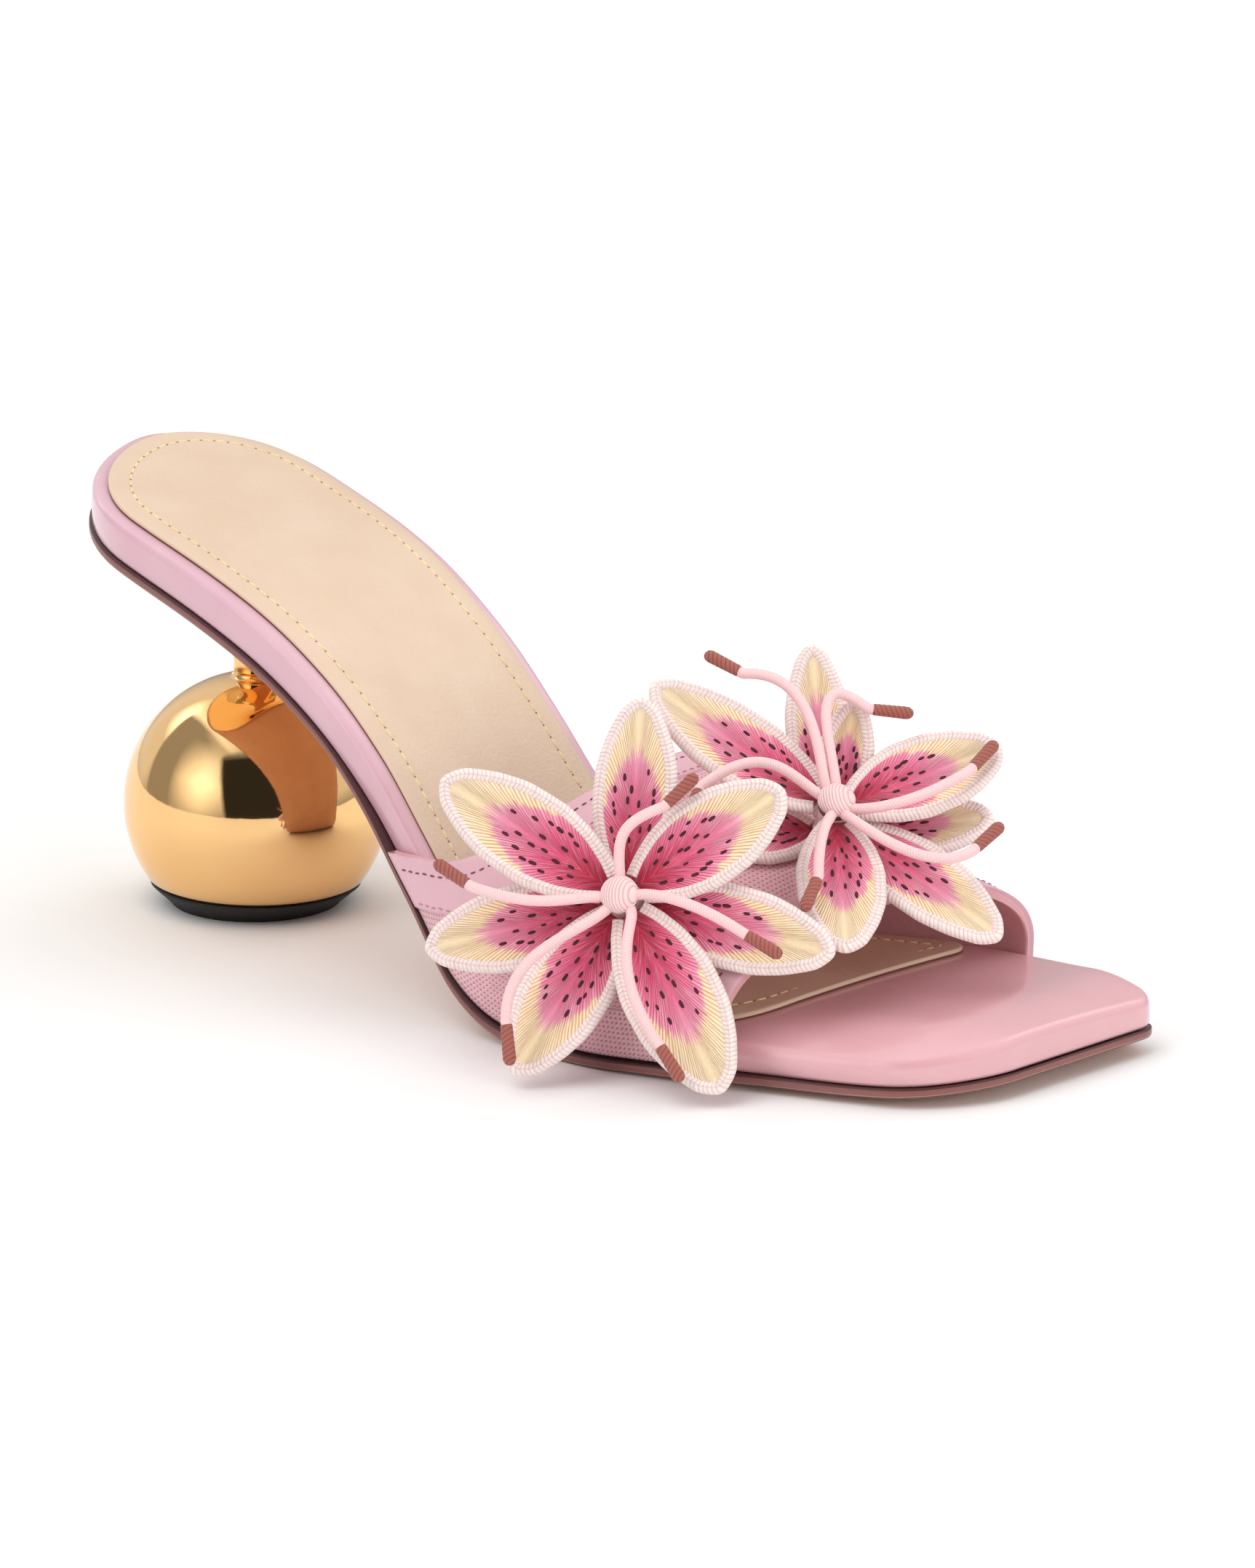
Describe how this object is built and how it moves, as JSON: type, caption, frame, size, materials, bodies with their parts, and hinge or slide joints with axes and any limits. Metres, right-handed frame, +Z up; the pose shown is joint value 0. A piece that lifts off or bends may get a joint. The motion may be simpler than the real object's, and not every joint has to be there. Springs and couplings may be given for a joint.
{
  "type": "heeled mule",
  "caption": "Backless square-toed mule for the right foot on a polished ball heel, its wide cloth and leather strap carrying embroidered lilies with corded stamens.",
  "frame": {"origin": "centre of the flat face under the heel's rubber tip, on the floor", "axes": "+X from heel to toe, +Y from the outer side of the foot to the inner side, +Z up"},
  "size_m": [0.2248, 0.1036, 0.0889],
  "materials": {
    "outsole_leather": "satin",
    "pink_leather": "satin",
    "sock_leather": "satin",
    "gold_metal": "polished",
    "black_rubber": "matt",
    "pink_cloth": "matt",
    "petal_thread": "silky",
    "pale_cord": "silky",
    "anther_thread": "silky"
  },
  "bodies": {
    "root": {"heel_ball": "gold_metal", "heel_stem": "gold_metal", "heel_tip": "black_rubber", "insole_sock": "sock_leather", "outer_lily_anther_1": "anther_thread", "outer_lily_anther_2": "anther_thread", "outer_lily_anther_3": "anther_thread", "outer_lily_anther_4": "anther_thread", "outer_lily_anther_5": "anther_thread", "outer_lily_button": "pale_cord", "outer_lily_filament_1": "pale_cord", "outer_lily_filament_2": "pale_cord", "outer_lily_filament_3": "pale_cord", "outer_lily_filament_4": "pale_cord", "outer_lily_filament_5": "pale_cord", "outer_lily_petal_1": "petal_thread", "outer_lily_petal_2": "petal_thread", "outer_lily_petal_3": "petal_thread", "outer_lily_petal_4": "petal_thread", "outer_lily_petal_5": "petal_thread", "outer_lily_petal_6": "petal_thread", "outer_lily_petal_7": "petal_thread", "outsole": "outsole_leather", "platform": "pink_leather", "top_lily_anther_1": "anther_thread", "top_lily_anther_2": "anther_thread", "top_lily_anther_3": "anther_thread", "top_lily_anther_4": "anther_thread", "top_lily_anther_5": "anther_thread", "top_lily_anther_6": "anther_thread", "top_lily_button": "pale_cord", "top_lily_filament_1": "pale_cord", "top_lily_filament_2": "pale_cord", "top_lily_filament_3": "pale_cord", "top_lily_filament_4": "pale_cord", "top_lily_filament_5": "pale_cord", "top_lily_filament_6": "pale_cord", "top_lily_petal_1": "petal_thread", "top_lily_petal_2": "petal_thread", "top_lily_petal_3": "petal_thread", "top_lily_petal_4": "petal_thread", "top_lily_petal_5": "petal_thread", "top_lily_petal_6": "petal_thread", "top_lily_petal_7": "petal_thread", "top_lily_petal_8": "petal_thread", "vamp": "pink_cloth"}
  },
  "joints": []
}
